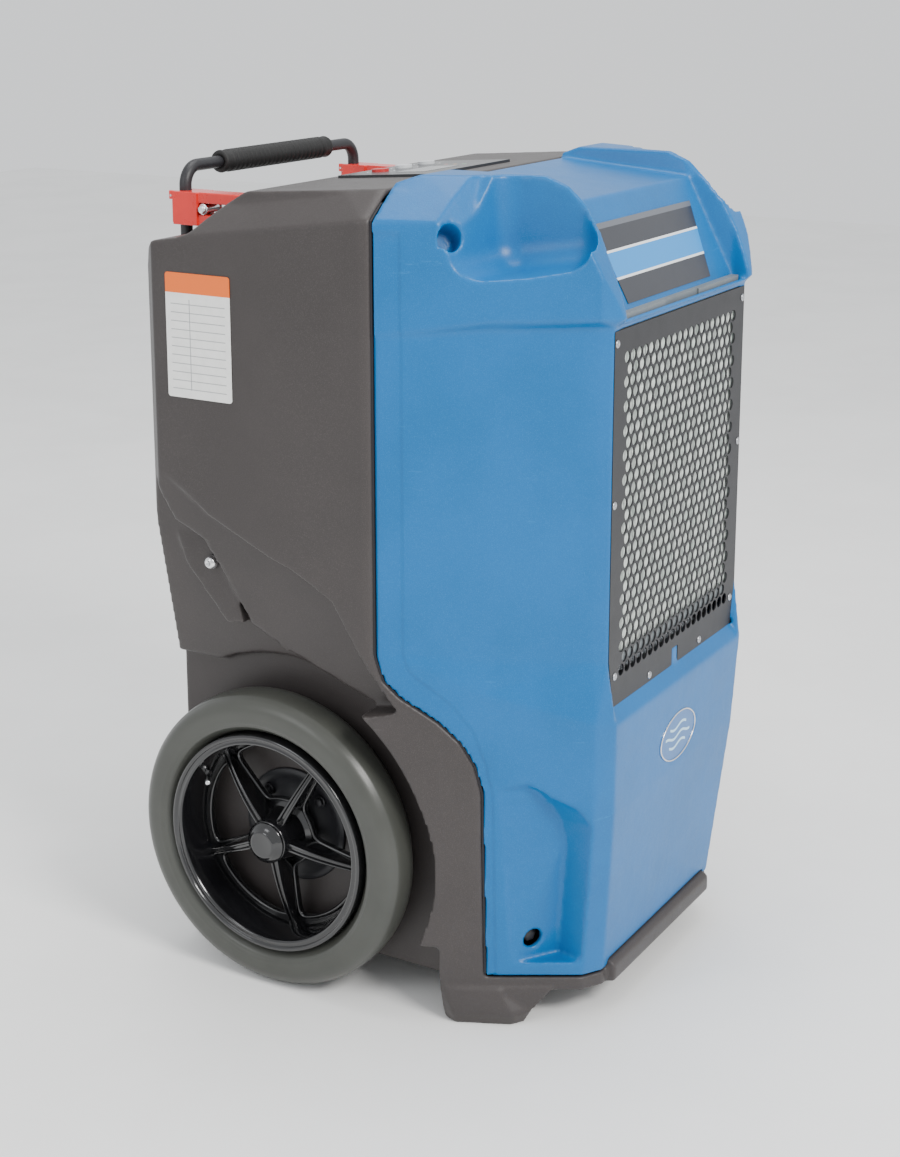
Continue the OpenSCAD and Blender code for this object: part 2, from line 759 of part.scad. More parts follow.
// Opening between two spokes of the right rim, turned by a
module rim_window(a) {
    half = 180 / spokes - 9;
    outer = rim_d / 2 - 24;
    on_spoke(a + 180 / spokes) translate([-5, 0, 0]) rotate([90, 0, 90]) linear_extrude(14)
        polygon(concat([[0, 40]], [for (t = [-half:half / 3:half]) outer * [sin(t), cos(t)]]));
}
module tyre() {
    section_r = 33;
    color("#62645f") wheel_turned() intersection() {
        translate([wheel_d / 2 - section_r, 0]) circle(r = section_r);
        translate([rim_d / 2, -tyre_w / 2]) square([wheel_d, tyre_w]);
    }
}
module wheel_bushes() {
    color("#d8d2c0") for (x = [tyre_x - tyre_w / 2 + 5, tyre_x + tyre_w / 2 - 20]) difference() {
        bar_x(x, wheel_y, wheel_z, 12, 24);
        bar_x(x - 1, wheel_y, wheel_z, 14, axle_d + 2 * fit);
    }
}
module hub_cap() {
    color("#1a1b1d") difference() {
        union() {
            bar_x(tyre_x + tyre_w / 2 - 8, wheel_y, wheel_z, 9, 44);
            bar_x(tyre_x + tyre_w / 2 - 8, wheel_y, wheel_z, 5, 50);
        }
        bar_x(tyre_x + tyre_w / 2 - 10, wheel_y, wheel_z, 8.4, axle_d + 3);
    }
}
module rim_right() { rim(); }
module rim_left() { mirror([1, 0, 0]) rim(); }
module tyre_right() { tyre(); }
module tyre_left() { mirror([1, 0, 0]) tyre(); }
module wheel_bushes_right() { wheel_bushes(); }
module wheel_bushes_left() { mirror([1, 0, 0]) wheel_bushes(); }
module hub_cap_right() { hub_cap(); }
module hub_cap_left() { mirror([1, 0, 0]) hub_cap(); }

// ---- handle ----

module handle_rod() {
    color("#131416") {
        both_sides() {
            translate([rod_x, rod_y, rod_low_z]) cylinder(h = bar_z - bend_r - rod_low_z, d = rod_d);
            translate([rod_x, rod_y, rod_low_z]) cylinder(h = 10, d = rod_d + 5);
            translate([rod_x - bend_r, rod_y, bar_z - bend_r]) rotate([90, 0, 0])
                rotate_extrude(angle = 90) translate([bend_r, 0]) circle(d = rod_d);
        }
        bar_x(-rod_x + bend_r, rod_y, bar_z, 2 * (rod_x - bend_r), rod_d);
    }
}
module handle_grip() {
    color("#0d0e0f") difference() {
        bar_x(-100, rod_y, bar_z, 200, grip_d);
        bar_x(-101, rod_y, bar_z, 202, rod_d);
    }
}
module rod_guides() {
    color("#17181a") both_sides() difference() {
        translate([rod_x - 13, rear_y - 11, 620]) cube([26, 28, 26]);
        translate([rod_x, rod_y, 600]) cylinder(h = 60, d = rod_d + 2 * clear);
    }
}
module side_bolts() {
    color("#d4d7da") both_sides() {
        bar_x(229, 167, 447, 9, 15);
        bar_x(200, 167, 447, 30, 8);
    }
}

// ---- handle clamps ----

lever_pin_y = 253.4;
lever_pin_z = clamp_z + clamp_h - 5;
lever_pin_d = 2.4;
module clamp() {
    prong = 11;
    color("#e0201c") difference() {
        union() {
            translate([rod_x - 12, 150, clamp_z]) cube([24, 70, clamp_h]);
            translate([rod_x - 15, 218, clamp_z]) cube([30, 31, clamp_h]);
            for (x = [rod_x - 12, rod_x + 7.5]) translate([x, 248, lever_pin_z - 4]) cube([4.5, 7.8, 9]);
        }
        translate([rod_x - 20, 176, clamp_z + prong]) cube([40, 42, clamp_h - 2 * prong]);
        translate([rod_x, rod_y, clamp_z - 1]) cylinder(h = clamp_h + 2, d = rod_d + 2 * clear);
        translate([rod_x - rod_d / 2 - clear, rod_y, clamp_z - 1])
            cube([rod_d + 2 * clear, 20, clamp_h + 2]);
        bar_x(rod_x - 20, lever_pin_y, lever_pin_z, 40, lever_pin_d);
        bar_x(rod_x - 20, 212, clamp_z + clamp_h / 2, 40, 6);
    }
}
module clamp_lever() {
    color("#f02a22") difference() {
        union() {
            translate([rod_x - 7, 252.2, clamp_z + 1]) cube([14, 3.4, clamp_h - 6]);
            bar_x(rod_x - 7, lever_pin_y, lever_pin_z, 14, 4.6);
            translate([rod_x - 5, rod_y + rod_d / 2 + clear, clamp_z + 10]) cube([10, 3, 9]);
        }
        bar_x(rod_x - 20, lever_pin_y, lever_pin_z, 40, lever_pin_d + 2 * fit);
    }
}
module clamp_right() { clamp(); }
module clamp_left() { mirror([1, 0, 0]) clamp(); }
module clamp_lever_right() { clamp_lever(); }
module clamp_lever_left() { mirror([1, 0, 0]) clamp_lever(); }
module clamp_pins() {
    color("#d4d7da") both_sides() {
        bar_x(rod_x - 12, lever_pin_y, lever_pin_z, 24, lever_pin_d);
        bar_x(rod_x - 12, 212, clamp_z + clamp_h / 2, 24, 9);
    }
}
module front_bolts() {
    color("#2a2c30") both_sides() on_hold() translate([0, 0, -19]) {
        cylinder(h = 8, d = 15);
        cylinder(h = 3, d = 19.6);
    }
}

rear_housing();
front_housing();
seam_seal();
inlet_grille();
grille_screws();
filter_frame();
filter_media();
nameplate();
badge();
side_label();
control_panel();
display_window();
button_power();
button_mode();
button_drain();
exhaust_collar();
exhaust_guard();
fan_shroud();
fan_motor();
fan_wheel();
heat_exchanger();
evaporator();
condenser();
coil_frame();
drain_pan();
condensate_pump();
drain_hose();
drain_fitting();
compressor();
compressor_mounts();
filter_drier();
refrigerant_lines();
electrics_box();
run_capacitor();
inner_frame();
cord_inlet();
axle();
axle_brackets();
bracket_bolts();
rim_left();
rim_right();
tyre_left();
tyre_right();
wheel_bushes_left();
wheel_bushes_right();
hub_cap_left();
hub_cap_right();
handle_rod();
handle_grip();
rod_guides();
side_bolts();
clamp_left();
clamp_right();
clamp_lever_left();
clamp_lever_right();
clamp_pins();
front_bolts();
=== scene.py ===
"""Wheeled drying dehumidifier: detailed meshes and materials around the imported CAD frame.

Metres, +Z up, the inlet grille faces -Y and +X is on the right for someone looking at it.
"""
import json
import math

import bpy
import numpy as np
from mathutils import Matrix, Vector


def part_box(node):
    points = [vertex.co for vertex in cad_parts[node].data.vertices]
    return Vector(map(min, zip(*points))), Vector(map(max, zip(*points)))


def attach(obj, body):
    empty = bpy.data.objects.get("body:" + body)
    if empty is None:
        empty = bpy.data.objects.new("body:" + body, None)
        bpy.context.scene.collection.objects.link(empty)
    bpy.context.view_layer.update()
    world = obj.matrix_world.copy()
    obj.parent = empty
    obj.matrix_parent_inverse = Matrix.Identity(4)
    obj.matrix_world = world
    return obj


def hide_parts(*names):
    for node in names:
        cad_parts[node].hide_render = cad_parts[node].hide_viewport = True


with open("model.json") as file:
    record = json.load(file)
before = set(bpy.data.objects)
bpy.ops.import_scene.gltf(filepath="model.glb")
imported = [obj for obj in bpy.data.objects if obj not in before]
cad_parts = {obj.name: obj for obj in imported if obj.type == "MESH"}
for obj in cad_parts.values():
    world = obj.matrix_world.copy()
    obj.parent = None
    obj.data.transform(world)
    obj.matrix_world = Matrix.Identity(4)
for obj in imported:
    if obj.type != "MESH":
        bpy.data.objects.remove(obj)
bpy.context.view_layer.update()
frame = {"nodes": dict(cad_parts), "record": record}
NODES = frame["nodes"]


# ---------------------------------------------------------------- camera, lights and floor


def add_camera():
    """Camera at the photograph's viewpoint, turned to look at the machine."""
    data = bpy.data.cameras.new("camera")
    camera = bpy.data.objects.new("camera", data)
    bpy.context.scene.collection.objects.link(camera)
    camera.location = (-1.791, -1.027, 1.047)
    target = Vector((-0.025, 0.006, 0.552))
    camera.rotation_euler = (target - camera.location).to_track_quat("-Z", "Y").to_euler()
    data.sensor_width = 36.0
    data.lens = 62.0
    data.shift_y = -0.12
    data.clip_start = 0.01
    bpy.context.scene.camera = camera


def add_area_light(name, place, target, size, power, tint=(1.0, 1.0, 1.0)):
    data = bpy.data.lights.new(name, "AREA")
    data.shape = "RECTANGLE"
    data.size, data.size_y = size
    data.energy = power
    data.color = tint
    light = bpy.data.objects.new(name, data)
    bpy.context.scene.collection.objects.link(light)
    light.location = place
    light.rotation_euler = (Vector(target) - Vector(place)).to_track_quat("-Z", "Y").to_euler()


def add_studio():
    """Pale floor, a pale sky and three large soft lights."""
    world = bpy.data.worlds.new("studio")
    bpy.context.scene.world = world
    world.use_nodes = True
    background = world.node_tree.nodes["Background"]
    background.inputs["Color"].default_value = (0.96, 0.98, 1.0, 1.0)
    background.inputs["Strength"].default_value = 1.1
    add_area_light("key", (-1.0, -2.6, 2.5), (0, 0, 0.5), (1.1, 0.8), 105, (1.0, 0.985, 0.96))
    add_area_light("side", (-2.9, 0.9, 1.9), (0, 0.1, 0.45), (1.0, 1.4), 20, (0.97, 0.985, 1.0))
    add_area_light("top", (0.2, 0.1, 3.0), (0, 0, 0.6), (1.4, 1.4), 36)
    mesh = bpy.data.meshes.new("floor")
    half = 6.0
    corners = [(-half, -half, 0), (half, -half, 0), (half, half, 0), (-half, half, 0)]
    mesh.from_pydata(corners, [], [(0, 1, 2, 3)])
    floor = bpy.data.objects.new("floor", mesh)
    bpy.context.scene.collection.objects.link(floor)
    paint = Material("floor_paint", (0.94, 0.94, 0.93), roughness=0.6)
    paint.mottle(scale=3, amount=0.02)
    floor.data.materials.append(paint.done())


# ---------------------------------------------------------------- materials


class Material:
    """A Principled material built up from procedural layers in the object's own coordinates."""

    def __init__(self, name, color, roughness=0.5, metallic=0.0, coat=0.0, sheen=0.0, specular=0.5):
        self.mat = bpy.data.materials.new(name)
        self.mat.use_nodes = True
        self.tree = self.mat.node_tree
        self.shader = self.tree.nodes["Principled BSDF"]
        self.color = (*color, 1.0)
        self.base_roughness = roughness
        for socket, value in (("Base Color", self.color), ("Roughness", roughness), ("Metallic", metallic),
                              ("Coat Weight", coat), ("Coat Roughness", 0.12), ("IOR", 1.5),
                              ("Sheen Weight", sheen), ("Specular IOR Level", specular)):
            self.shader.inputs[socket].default_value = value
        self.coords = self.tree.nodes.new("ShaderNodeTexCoord").outputs["Object"]
        self.height = None

    def node(self, kind, settings=None, **inputs):
        made = self.tree.nodes.new(kind)
        for key, value in (settings or {}).items():
            setattr(made, key, value)
        for key, value in inputs.items():
            self.put(made.inputs[key.replace("_", " ")], value)
        return made

    def put(self, socket, value):
        if isinstance(value, bpy.types.NodeSocket):
            self.tree.links.new(value, socket)
        else:
            socket.default_value = value

    def noise(self, scale, detail=2.0, roughness=0.5, stretch=(1, 1, 1)):
        """Noise with features of 1 / scale metres."""
        coords = self.coords
        if stretch != (1, 1, 1):
            mapping = self.node("ShaderNodeMapping", Vector=coords, Scale=stretch)
            coords = mapping.outputs["Vector"]
        made = self.node("ShaderNodeTexNoise", Vector=coords, Scale=float(scale), Detail=detail,
                         Roughness=roughness)
        return made.outputs["Fac"]

    def math(self, operation, a, b=0.0, clamp=False):
        made = self.node("ShaderNodeMath", {"operation": operation, "use_clamp": clamp})
        self.put(made.inputs[0], a)
        self.put(made.inputs[1], b)
        return made.outputs["Value"]

    def ramp(self, value, low, high):
        """0 below low, 1 above high, smooth between."""
        made = self.node("ShaderNodeMapRange", {"interpolation_type": "SMOOTHSTEP"}, Value=value)
        made.inputs["From Min"].default_value = low
        made.inputs["From Max"].default_value = high
        return made.outputs["Result"]

    def mix(self, factor, a, b):
        made = self.node("ShaderNodeMix", {"data_type": "RGBA"})
        self.put(made.inputs[0], factor)
        self.put(made.inputs[6], a)
        self.put(made.inputs[7], b)
        return made.outputs[2]

    def current(self, socket):
        """What feeds a socket of the shader now: a link or a set value."""
        found = self.shader.inputs[socket]
        if found.links:
            return found.links[0].from_socket
        return found.default_value

    def paint(self, mask, color):
        """Lays another colour over the base where mask is 1."""
        self.put(self.shader.inputs["Base Color"], self.mix(mask, self.current("Base Color"), (*color, 1.0)))

    def mottle(self, scale, amount, tint=None):
        """Soft cloudy variation of the colour."""
        dark = tint or tuple(c * (1 - 2.2 * amount) for c in self.color[:3])
        self.paint(self.ramp(self.noise(scale, 4.0, 0.6), 0.35, 0.70), dark)

    def vary_roughness(self, scale, amount, stretch=(1, 1, 1)):
        centred = self.math("SUBTRACT", self.noise(scale, 3.0, 0.6, stretch), 0.5)
        swing = self.math("MULTIPLY", centred, 2 * amount)
        current = self.current("Roughness")
        self.put(self.shader.inputs["Roughness"], self.math("ADD", current, swing, clamp=True))

    def bump(self, height, depth):
        """Adds a height map, whose full range stands for depth metres."""
        made = self.node("ShaderNodeBump", Height=height, Distance=depth, Strength=1.0)
        if self.height is not None:
            self.tree.links.new(self.height, made.inputs["Normal"])
        self.height = made.outputs["Normal"]
        self.tree.links.new(self.height, self.shader.inputs["Normal"])

    def grain(self, size, depth, detail=2.0):
        self.bump(self.noise(1 / size, detail, 0.6), depth)

    def scuffs(self, color, amount=0.5, scale=18):
        """Fine pale level scratches in loose patches."""
        streaks = self.noise(scale, 6.0, 0.72, (1.0, 1.0, 9.0))
        patches = self.noise(7.0, 2.0)
        mask = self.math("MULTIPLY", self.ramp(streaks, 0.63, 0.70), self.ramp(patches, 0.50, 0.66))
        mask = self.math("MULTIPLY", mask, amount)
        self.paint(mask, color)

    def lighten_convex_edges(self, color, amount, low=0.52, high=0.60):
        """Lightens convex edges."""
        geometry = self.node("ShaderNodeNewGeometry")
        convex_edges = self.ramp(geometry.outputs["Pointiness"], low, high)
        breakup = self.ramp(self.noise(60, 4.0, 0.7), 0.35, 0.7)
        self.paint(self.math("MULTIPLY", self.math("MULTIPLY", convex_edges, breakup), amount), color)

    def done(self):
        return self.mat


def rotomoulded(name, color, light, roughness):
    """Moulded polyethylene: very fine grain, faint waviness, and convex edges lightened with the lit tone,
    partly wear and partly painted highlight.
    """
    m = Material(name, color, roughness=roughness, specular=0.34)
    m.mottle(scale=9, amount=0.05)
    m.paint(m.math("MULTIPLY", m.ramp(m.noise(1400, 1.0), 0.50, 0.72), 0.22), light)
    # Convex edges painted in the lit tone: partly wear, partly a painted highlight along the rounded edges.
    m.lighten_convex_edges(light, 0.55)
    m.scuffs(light, 0.25)
    m.vary_roughness(40, 0.05)
    m.grain(0.0011, 0.00012)
    m.grain(0.011, 0.00018)
    return m.done()


def satin_rubber(name, color, roughness=0.42):
    m = Material(name, color, roughness=roughness, specular=0.4)
    m.mottle(scale=14, amount=0.06)
    m.scuffs(tuple(min(1.0, c * 1.7 + 0.02) for c in color), 0.35, 26)
    m.vary_roughness(30, 0.08)
    m.grain(0.0008, 0.00006)
    return m.done()


def gloss_black(name, color=(0.006, 0.006, 0.007)):
    m = Material(name, color, roughness=0.16, coat=0.6)
    m.mottle(scale=30, amount=0.1)
    m.vary_roughness(22, 0.06)
    m.scuffs((0.08, 0.08, 0.085), 0.3, 40)
    m.grain(0.02, 0.0002)
    return m.done()


def powder_coat(name, color, roughness=0.48):
    m = Material(name, color, roughness=roughness)
    m.mottle(scale=20, amount=0.08)
    m.vary_roughness(50, 0.05)
    m.grain(0.0009, 0.00010)
    return m.done()


def satin_plastic(name, color, roughness=0.4):
    m = Material(name, color, roughness=roughness)
    m.mottle(scale=16, amount=0.05)
    m.vary_roughness(35, 0.05)
    m.grain(0.0007, 0.00005)
    return m.done()


def enamel(name, color):
    """Glossy sprayed enamel, with a lighter tone along its convex edges."""
    m = Material(name, color, roughness=0.28, coat=0.35)
    m.mottle(scale=24, amount=0.06)
    m.lighten_convex_edges(tuple(min(1.0, c * 1.2 + 0.06) for c in color), 0.5)
    m.vary_roughness(40, 0.05)
    m.grain(0.004, 0.00005)
    return m.done()


def bare_metal(name, color, roughness=0.32, along=(1, 1, 12)):
    m = Material(name, color, roughness=roughness, metallic=1.0)
    m.mottle(scale=35, amount=0.08)
    m.vary_roughness(160, 0.10, along)
    m.bump(m.noise(300, 3.0, 0.6, along), 0.00003)
    return m.done()


def filter_cloth():
    m = Material("filter_cloth", (0.88, 0.93, 0.88), roughness=0.85, sheen=0.25)
    m.mottle(scale=60, amount=0.05, tint=(0.70, 0.80, 0.74))
    m.grain(0.0012, 0.0006, 4.0)
    return m.done()


def printed_film(name, color):
    """Base of a printed sticker: thin glossy film over a nearly even colour."""
    m = Material(name, color, roughness=0.32, coat=0.2)
    m.mottle(scale=90, amount=0.03)
    m.axes = m.node("ShaderNodeSeparateXYZ", Vector=m.coords).outputs
    return m


def finish_film(m):
    m.vary_roughness(50, 0.05)
    m.grain(0.0015, 0.00002)
    return m.done()


def between(m, value, low, high):
    """1 where the value lies between low and high."""
    return m.math("MULTIPLY", m.math("GREATER_THAN", value, low), m.math("LESS_THAN", value, high))


def ruled_label(name):
    """White side label with an orange header and a blank ruled table, with no print on it."""
    low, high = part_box("side_label")
    m = printed_film(name, (0.80, 0.80, 0.78))
    y, z = m.axes["Y"], m.axes["Z"]
    grey = (0.30, 0.31, 0.32)
    header_z = high[2] - 0.020
    inside = m.math("MULTIPLY", between(m, y, low[1] + 0.006, high[1] - 0.006),
                    between(m, z, low[2] + 0.008, header_z - 0.006))
    steps = m.math("FRACT", m.math("DIVIDE", m.math("SUBTRACT", z, low[2]), 0.0085))
    m.paint(m.math("MULTIPLY", inside, m.math("MULTIPLY", m.math("LESS_THAN", steps, 0.11), 0.9)), grey)
    middle = (low[1] + high[1]) / 2 + 0.010
    m.paint(m.math("MULTIPLY", inside, between(m, y, middle - 0.0005, middle + 0.0005)), grey)
    m.paint(m.math("GREATER_THAN", z, header_z), (0.80, 0.14, 0.004))
    return finish_film(m)


def banded_plate(name):
    """Dark plate crossed by a bright blue band between two white lines."""
    low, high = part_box("nameplate")
    m = printed_film(name, (0.020, 0.022, 0.030))
    rise = m.math("DIVIDE", m.math("SUBTRACT", m.axes["Z"], low[2]), high[2] - low[2])
    m.paint(between(m, rise, 0.30, 0.66), (0.75, 0.78, 0.80))
    m.paint(between(m, rise, 0.33, 0.63), (0.004, 0.235, 0.62))
    m.paint(m.math("GREATER_THAN", rise, 0.93), (0.10, 0.11, 0.13))
    return finish_film(m)


def wave_badge(name):
    """Blue badge with three pale waves across it."""
    low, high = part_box("badge")
    m = printed_film(name, (0.010, 0.130, 0.380))
    swell = m.math("MULTIPLY", m.math("SINE", m.math("MULTIPLY", m.axes["X"], 170.0)), 0.0022)
    for level in (0.30, 0.50, 0.70):
        above = m.math("SUBTRACT", m.axes["Z"], low[2] + level * (high[2] - low[2]))
        near = m.math("LESS_THAN", m.math("ABSOLUTE", m.math("SUBTRACT", above, swell)), 0.0014)
        reach = m.math("LESS_THAN", m.math("ABSOLUTE", m.axes["X"]), 0.030 - 0.05 * abs(level - 0.5))
        m.paint(m.math("MULTIPLY", reach, near), (0.42, 0.68, 0.86))
    return finish_film(m)


def panel_overlay(name):
    """Black panel film with a thin ring around each button and three small lamps."""
    m = printed_film(name, (0.020, 0.021, 0.024))
    x, y = m.axes["X"], m.axes["Y"]

    def distance(cx, cy):
        across = m.math("POWER", m.math("ABSOLUTE", m.math("SUBTRACT", x, cx)), 2.0)
        along = m.math("POWER", m.math("ABSOLUTE", m.math("SUBTRACT", y, cy)), 2.0)
        return m.math("SQRT", m.math("ADD", across, along))

    for node in ("button_power", "button_mode", "button_drain"):
        low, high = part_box(node)
        away = distance((low[0] + high[0]) / 2, (low[1] + high[1]) / 2)
        m.paint(between(m, away, 0.0138, 0.0147), (0.6, 0.62, 0.64))
    low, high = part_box("display_window")
    for k, color in enumerate(((0.05, 0.55, 0.10), (0.75, 0.40, 0.02), (0.65, 0.03, 0.02))):
        place = distance(high[0] + 0.022, low[1] + 0.006 + 0.011 * k)
        m.paint(m.math("LESS_THAN", place, 0.0022), color)
        m.paint(between(m, place, 0.0022, 0.0028), (0.4, 0.4, 0.42))
    m.vary_roughness(40, 0.06)
    m.grain(0.0009, 0.00005)
    return m.done()


def make_materials():
    return {
        # The third colour of each case is its lit tone, used for speckle, scuffs and the painted edge
        # highlight.
        "grey_case": rotomoulded("grey_case", (0.044, 0.038, 0.037), (0.13, 0.118, 0.114), 0.42),
        "blue_case": rotomoulded("blue_case", (0.0002, 0.118, 0.345), (0.02, 0.290, 0.650), 0.36),
        "black_steel": powder_coat("black_steel", (0.014, 0.014, 0.017)),
        "black_plastic": satin_plastic("black_plastic", (0.018, 0.018, 0.020)),
        "gloss_black": gloss_black("gloss_black"),
        "panel_film": panel_overlay("panel_film"),
        "plate_print": banded_plate("plate_print"),
        "badge_print": wave_badge("badge_print"),
        "label_print": ruled_label("label_print"),
        "seal_rubber": satin_rubber("seal_rubber", (0.008, 0.008, 0.012), 0.6),
        "mount_rubber": satin_rubber("mount_rubber", (0.012, 0.012, 0.012), 0.7),
        "tyre_rubber": satin_rubber("tyre_rubber", (0.056, 0.058, 0.051), 0.34),
        "filter_plastic": satin_plastic("filter_plastic", (0.16, 0.18, 0.19), 0.40),
        "filter_cloth": filter_cloth(),
        "window": gloss_black("window", (0.010, 0.018, 0.022)),
        "button_red": satin_plastic("button_red", (0.50, 0.02, 0.02), 0.35),
        "button_white": satin_plastic("button_white", (0.62, 0.64, 0.66), 0.35),
        "clamp_red": enamel("clamp_red", (0.72, 0.018, 0.012)),
        "zinc_steel": bare_metal("zinc_steel", (0.50, 0.51, 0.53), 0.36),
        "bolt_steel": bare_metal("bolt_steel", (0.78, 0.78, 0.79), 0.20),
        "coil_aluminium": bare_metal("coil_aluminium", (0.62, 0.65, 0.67), 0.34),
        "copper": bare_metal("copper", (0.72, 0.36, 0.20), 0.28),
        "brass_fitting": bare_metal("brass_fitting", (0.72, 0.56, 0.26), 0.26),
        "compressor_black": powder_coat("compressor_black", (0.012, 0.012, 0.014), 0.30),
        "bush_nylon": satin_plastic("bush_nylon", (0.62, 0.58, 0.48), 0.45),
        "grip_rubber": satin_rubber("grip_rubber", (0.010, 0.010, 0.010), 0.62),
    }


# ---------------------------------------------------------------- mesh helpers


def body_of_node(node):
    return next(body for body, members in frame["record"]["behaviour"]["bodies"].items() if node in members)


def slot_of_node(node):
    return next(s["material_slot"] for s in frame["record"]["subparts"] if s["node"] == node)


def finish_of_node(node):
    return "panel_film" if node == "control_panel" else slot_of_node(node)


def new_piece(name, mesh, slot, body, finish=None):
    """A visible piece with its slot's material, riding on a CAD body."""
    piece = bpy.data.objects.new(name, mesh)
    bpy.context.scene.collection.objects.link(piece)
    mesh.materials.clear()
    mesh.materials.append(MATERIALS[finish or slot])
    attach(piece, body)
    return piece


def stand_in(node, mesh, suffix="shape", slot=None):
    """A new piece that takes the place of a CAD node."""
    piece = new_piece(f"{node}_{suffix}", mesh, slot or slot_of_node(node), body_of_node(node))
    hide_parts(node)
    return piece


def beside(node, name, mesh, slot):
    """A new piece that rides with a CAD node and replaces nothing."""
    return new_piece(name, mesh, slot, body_of_node(node))


def apply_modifiers(piece):
    graph = bpy.context.evaluated_depsgraph_get()
    mesh = bpy.data.meshes.new_from_object(piece.evaluated_get(graph))
    old = piece.data
    piece.modifiers.clear()
    piece.data = mesh
    bpy.data.meshes.remove(old)


def shade_smooth(mesh):
    mesh.polygons.foreach_set("use_smooth", [True] * len(mesh.polygons))


def points_of(mesh):
    co = np.empty(len(mesh.vertices) * 3)
    mesh.vertices.foreach_get("co", co)
    return co.reshape(-1, 3)


def set_points(mesh, co):
    mesh.vertices.foreach_set("co", co.ravel())
    mesh.update()


def normals_of(mesh):
    normals = np.empty(len(mesh.vertices) * 3)
    mesh.vertex_normals.foreach_get("vector", normals)
    return normals.reshape(-1, 3)


def mesh_of(name, points, faces):
    mesh = bpy.data.meshes.new(name)
    mesh.from_pydata([tuple(map(float, p)) for p in points], [], faces)
    mesh.validate()
    shade_smooth(mesh)
    return mesh


def strip_faces(rows, cols, wrap_rows, wrap_cols, start=0):
    """Quads over a grid of points, row by row."""
    faces = []
    for r in range(rows if wrap_rows else rows - 1):
        for c in range(cols if wrap_cols else cols - 1):
            a, b = r * cols, (r + 1) % rows * cols
            d = (c + 1) % cols
            faces.append((start + a + c, start + a + d, start + b + d, start + b + c))
    return faces


def joined(name, parts):
    """One mesh from several (points, faces) pairs."""
    points, faces = [], []
    for part_points, part_faces in parts:
        faces += [tuple(i + len(points) for i in face) for face in part_faces]
        points += [tuple(map(float, p)) for p in part_points]
    return mesh_of(name, points, faces)


def basis(axis):
    """The axis made a unit vector, and two unit vectors square to it and to each other."""
    axis = Vector(axis).normalized()
    side = axis.orthogonal().normalized()
    return axis, side, axis.cross(side)


def turned(profile, center, axis, segments=96, closed=True):
    """Revolves a (distance along, radius) outline about an axis through center."""
    axis, u, v = basis(axis)
    center = Vector(center)
    points = []
    for k in range(segments):
        a = 2 * math.pi * k / segments
        out = u * math.cos(a) + v * math.sin(a)
        points += [center + axis * along + out * radius for along, radius in profile]
    return points, strip_faces(segments, len(profile), True, closed)


def rounded(points, passes=3):
    """Softens the corners of an open path by cutting them again and again."""
    path = [Vector(p) for p in points]
    for _ in range(passes):
        cut = [path[0]]
        for a, b in zip(path, path[1:]):
            cut += [a.lerp(b, 0.25), a.lerp(b, 0.75)]
        path = cut + [path[-1]]
    return path


def tube(path, radius, sides=20, closed=False):
    """Round tube along a path, with flat ends unless it is closed."""
    path = [Vector(p) for p in path]
    count = len(path)
    points = []
    side = None
    for k in range(count):
        ahead = path[(k + 1) % count] if closed or k + 1 < count else path[k]
        behind = path[k - 1] if closed or k else path[k]
        along = (ahead - behind).normalized()
        side = basis(along)[1] if side is None else (side - along * side.dot(along)).normalized()
        other = along.cross(side)
        for j in range(sides):
            a = 2 * math.pi * j / sides
            points.append(path[k] + (side * math.cos(a) + other * math.sin(a)) * radius)
    faces = strip_faces(count, sides, closed, True)
    if not closed:
        faces += [tuple(range(sides)), tuple(range(count * sides - 1, (count - 1) * sides - 1, -1))]
    return points, faces


def block(low, high):
    """Box as (points, faces), for the fins and end plates of a coil."""
    points = [(x, y, z) for x in (low[0], high[0]) for y in (low[1], high[1]) for z in (low[2], high[2])]
    return points, [(0, 1, 3, 2), (4, 6, 7, 5), (0, 4, 5, 1), (2, 3, 7, 6), (0, 2, 6, 4), (1, 5, 7, 3)]


def soft_edges(piece, width, segments=2):
    modifier = piece.modifiers.new("soft_edges", "BEVEL")
    modifier.width = width
    modifier.segments = segments
    modifier.limit_method = "ANGLE"
    modifier.angle_limit = math.radians(35)


MATERIALS = make_materials()


# ---------------------------------------------------------------- pieces that keep the CAD shape


def keep_cad(node, bevel):
    """Shows a CAD node as it is, with its material and softened edges."""
    piece = NODES[node]
    piece.data.materials.clear()
    piece.data.materials.append(MATERIALS[finish_of_node(node)])
    soft_edges(piece, bevel)


def moulded(node, voxel, passes):
    """A moulded skin over a CAD node: every edge is rounded by remeshing and smoothing."""
    piece = stand_in(node, NODES[node].data.copy(), "skin")
    remesh = piece.modifiers.new("skin", "REMESH")
    remesh.mode = "VOXEL"
    remesh.voxel_size = voxel
    smooth = piece.modifiers.new("soften", "SMOOTH")
    smooth.iterations = passes
    smooth.factor = 0.5
    apply_modifiers(piece)
    return piece


def thin_out(piece, ratio):
    thin = piece.modifiers.new("thin", "DECIMATE")
    thin.ratio = ratio
    apply_modifiers(piece)
    shade_smooth(piece.data)


# ---------------------------------------------------------------- housings


# Side view of the joint between the housings, as (y, z) from the top down
SEAM = ((-0.039, 0.900), (-0.039, 0.388), (-0.047, 0.362), (-0.062, 0.346), (-0.098, 0.322), (-0.118, 0.303),
        (-0.131, 0.278), (-0.137, 0.250), (-0.137, 0.050))


def distance_to_seam(co):
    """Distance in the side view from each point to the joint."""
    best = np.full(len(co), 9.0)
    where = co[:, 1:3]
    for start, end in zip(SEAM, SEAM[1:]):
        a, b = np.array(start), np.array(end)
        run = b - a
        t = np.clip(((where - a) @ run) / (run @ run), 0.0, 1.0)
        best = np.minimum(best, np.linalg.norm(where - a - t[:, None] * run, axis=1))
    return best


def ease(value, low, high):
    t = np.clip((value - low) / (high - low), 0.0, 1.0)
    return t * t * (3 - 2 * t)


